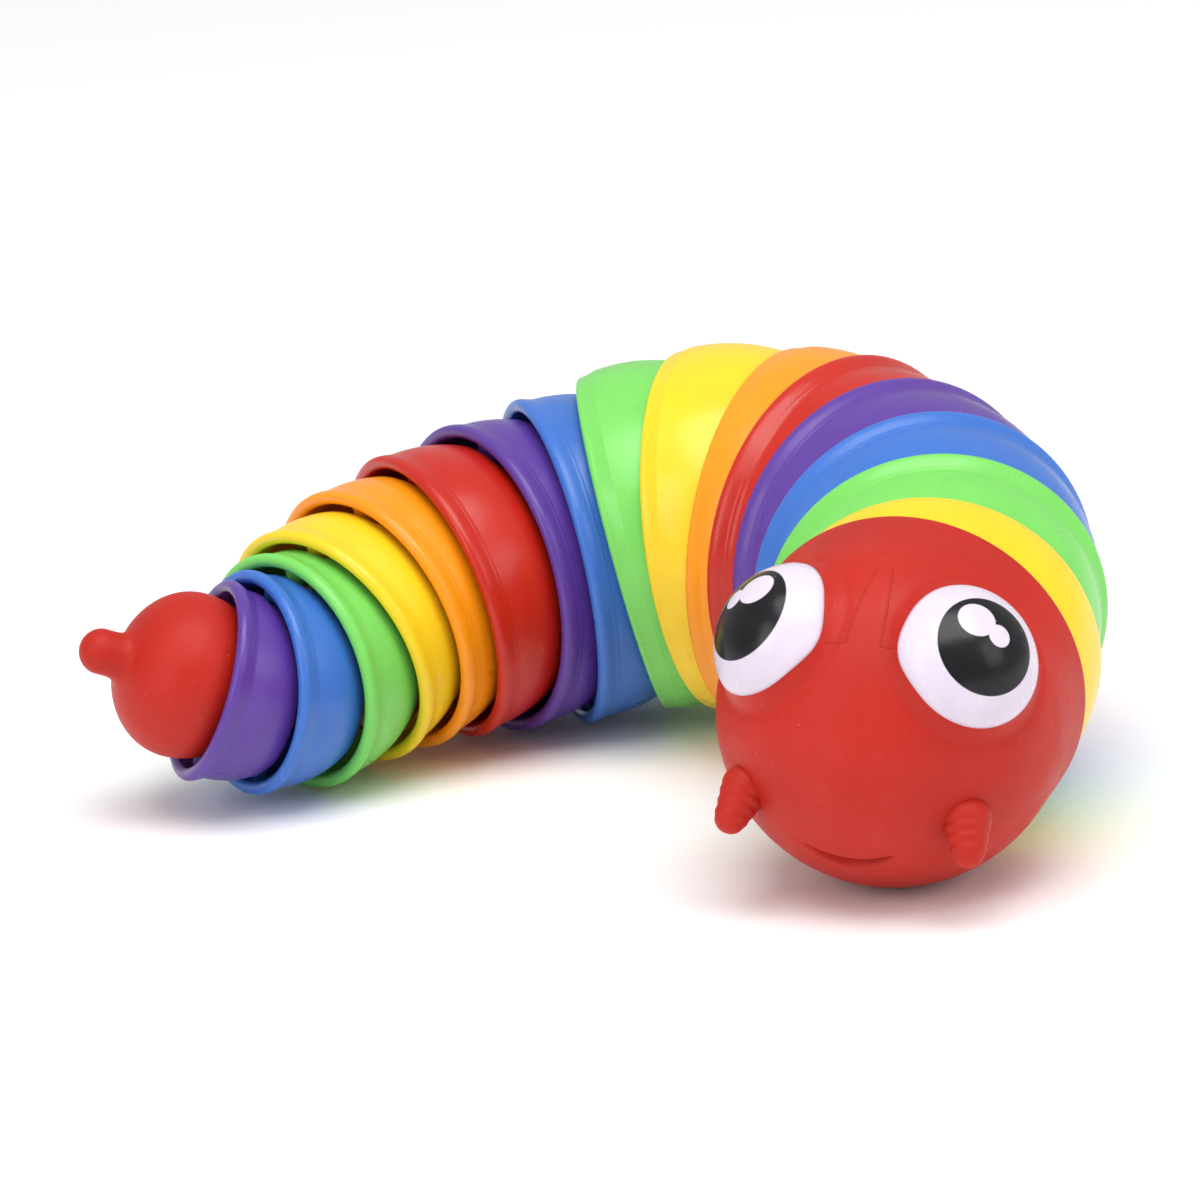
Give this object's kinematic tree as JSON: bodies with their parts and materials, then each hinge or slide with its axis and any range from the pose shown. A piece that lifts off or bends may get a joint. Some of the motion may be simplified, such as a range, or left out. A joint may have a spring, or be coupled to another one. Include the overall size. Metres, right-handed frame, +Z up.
{
  "type": "articulated worm fidget toy",
  "caption": "Jointed toy worm: a round smiling head, tapering rainbow rings nested in each other and a ball tail tip, hinged so the body bends sideways.",
  "frame": {"origin": "middle of the base: centre of the bounding box in plan, at the level of the table", "axes": "+Z up from the table; +X along the longest side of the curled toy, from the tail towards the widest bend; the face looks roughly along -Y"},
  "size_m": [0.114, 0.1024, 0.0441],
  "materials": {
    "ring_purple": "smooth injection-moulded plastic with a soft gloss",
    "ring_blue": "smooth injection-moulded plastic with a soft gloss",
    "ring_green": "smooth injection-moulded plastic with a soft gloss",
    "ring_yellow": "smooth injection-moulded plastic with a soft gloss",
    "ring_orange": "smooth injection-moulded plastic with a soft gloss",
    "ring_red": "smooth injection-moulded plastic with a soft gloss",
    "soft_red": "soft matte vinyl-like plastic that picks up dust",
    "printed_eye": "glossy printed film, black pupil on white"
  },
  "bodies": {
    "body_tail_tip": {"tail_tip": "soft_red"},
    "body_ring_01": {"ring_01": "ring_purple"},
    "body_ring_02": {"ring_02": "ring_blue"},
    "body_ring_03": {"ring_03": "ring_green"},
    "body_ring_04": {"ring_04": "ring_yellow"},
    "body_ring_05": {"ring_05": "ring_orange"},
    "body_ring_06": {"ring_06": "ring_red"},
    "body_ring_07": {"ring_07": "ring_purple"},
    "body_ring_08": {"ring_08": "ring_blue"},
    "body_ring_09": {"ring_09": "ring_green"},
    "body_ring_10": {"ring_10": "ring_yellow"},
    "body_ring_11": {"ring_11": "ring_orange"},
    "body_ring_12": {"ring_12": "ring_red"},
    "body_ring_13": {"ring_13": "ring_purple"},
    "body_ring_14": {"ring_14": "ring_blue"},
    "body_ring_15": {"ring_15": "ring_green"},
    "body_ring_16": {"ring_16": "ring_yellow"},
    "body_head": {"head": "soft_red", "eye_sticker_left": "printed_eye", "eye_sticker_right": "printed_eye"}
  },
  "joints": [
    {"name": "link_17", "type": "hinge", "parent": "body_head", "child": "body_ring_16", "pos_m": [0.03679, -0.0168, 0.02016], "axis": [-0.0242, -0.1529, 0.9879], "range_deg": [-27.95, 6.05]},
    {"name": "link_16", "type": "hinge", "parent": "body_ring_16", "child": "body_ring_15", "pos_m": [0.0381, -0.0085, 0.02148], "axis": [0.0038, -0.1075, 0.9942], "range_deg": [-27.88, 6.12]},
    {"name": "link_15", "type": "hinge", "parent": "body_ring_15", "child": "body_ring_14", "pos_m": [0.03779, 0.0003, 0.02243], "axis": [0.0055, -0.0207, 0.9998], "range_deg": [-29.97, 4.03]},
    {"name": "link_14", "type": "hinge", "parent": "body_ring_14", "child": "body_ring_13", "pos_m": [0.03539, 0.00928, 0.02263], "axis": [-0.028, 0.0505, 0.9983], "range_deg": [-31.04, 2.96]},
    {"name": "link_13", "type": "hinge", "parent": "body_ring_13", "child": "body_ring_12", "pos_m": [0.03065, 0.01784, 0.02207], "axis": [0, 0, 1], "range_deg": [-32, 2]},
    {"name": "link_12", "type": "hinge", "parent": "body_ring_12", "child": "body_ring_11", "pos_m": [0.02451, 0.02419, 0.02207], "axis": [0.0401, -0.0232, 0.9989], "range_deg": [-33.02, 0.98]},
    {"name": "link_11", "type": "hinge", "parent": "body_ring_11", "child": "body_ring_10", "pos_m": [0.01651, 0.02881, 0.0225], "axis": [-0.1313, 0.0401, 0.9905], "range_deg": [-30.2, 3.8]},
    {"name": "link_10", "type": "hinge", "parent": "body_ring_10", "child": "body_ring_09", "pos_m": [0.00782, 0.03147, 0.02124], "axis": [-0.2192, 0.0038, 0.9757], "range_deg": [-32.89, 1.11]},
    {"name": "link_09", "type": "hinge", "parent": "body_ring_09", "child": "body_ring_08", "pos_m": [-0.00154, 0.03163, 0.01913], "axis": [-0.0998, -0.0267, 0.9946], "range_deg": [-32.72, 1.28]},
    {"name": "link_08", "type": "hinge", "parent": "body_ring_08", "child": "body_ring_07", "pos_m": [-0.00967, 0.02945, 0.01826], "axis": [-0.0438, -0.0263, 0.9987], "range_deg": [-32.94, 1.06]},
    {"name": "link_07", "type": "hinge", "parent": "body_ring_07", "child": "body_ring_06", "pos_m": [-0.01655, 0.02532, 0.01785], "axis": [-0.1432, -0.0794, 0.9865], "range_deg": [-14.99, 19.01]},
    {"name": "link_06", "type": "hinge", "parent": "body_ring_06", "child": "body_ring_05", "pos_m": [-0.02303, 0.02172, 0.01662], "axis": [-0.1425, -0.1238, 0.982], "range_deg": [-28.84, 5.16]},
    {"name": "link_05", "type": "hinge", "parent": "body_ring_05", "child": "body_ring_04", "pos_m": [-0.02814, 0.01728, 0.01532], "axis": [-0.1798, -0.1862, 0.9659], "range_deg": [-21.92, 12.08]},
    {"name": "link_04", "type": "hinge", "parent": "body_ring_04", "child": "body_ring_03", "pos_m": [-0.03243, 0.01284, 0.01366], "axis": [-0.0383, -0.0357, 0.9986], "range_deg": [-14.04, 19.96]},
    {"name": "link_03", "type": "hinge", "parent": "body_ring_03", "child": "body_ring_02", "pos_m": [-0.03675, 0.00882, 0.01335], "axis": [0.1341, 0.0806, 0.9877], "range_deg": [-4.75, 29.25]},
    {"name": "link_02", "type": "hinge", "parent": "body_ring_02", "child": "body_ring_01", "pos_m": [-0.04131, 0.00607, 0.0142], "axis": [0.3462, 0.0928, 0.9336], "range_deg": [-0.89, 33.11]},
    {"name": "link_01", "type": "hinge", "parent": "body_ring_01", "child": "body_tail_tip", "pos_m": [-0.04573, 0.00489, 0.01595], "axis": [0.3868, 0.1257, 0.9135], "range_deg": [-19.8, 14.2]}
  ]
}
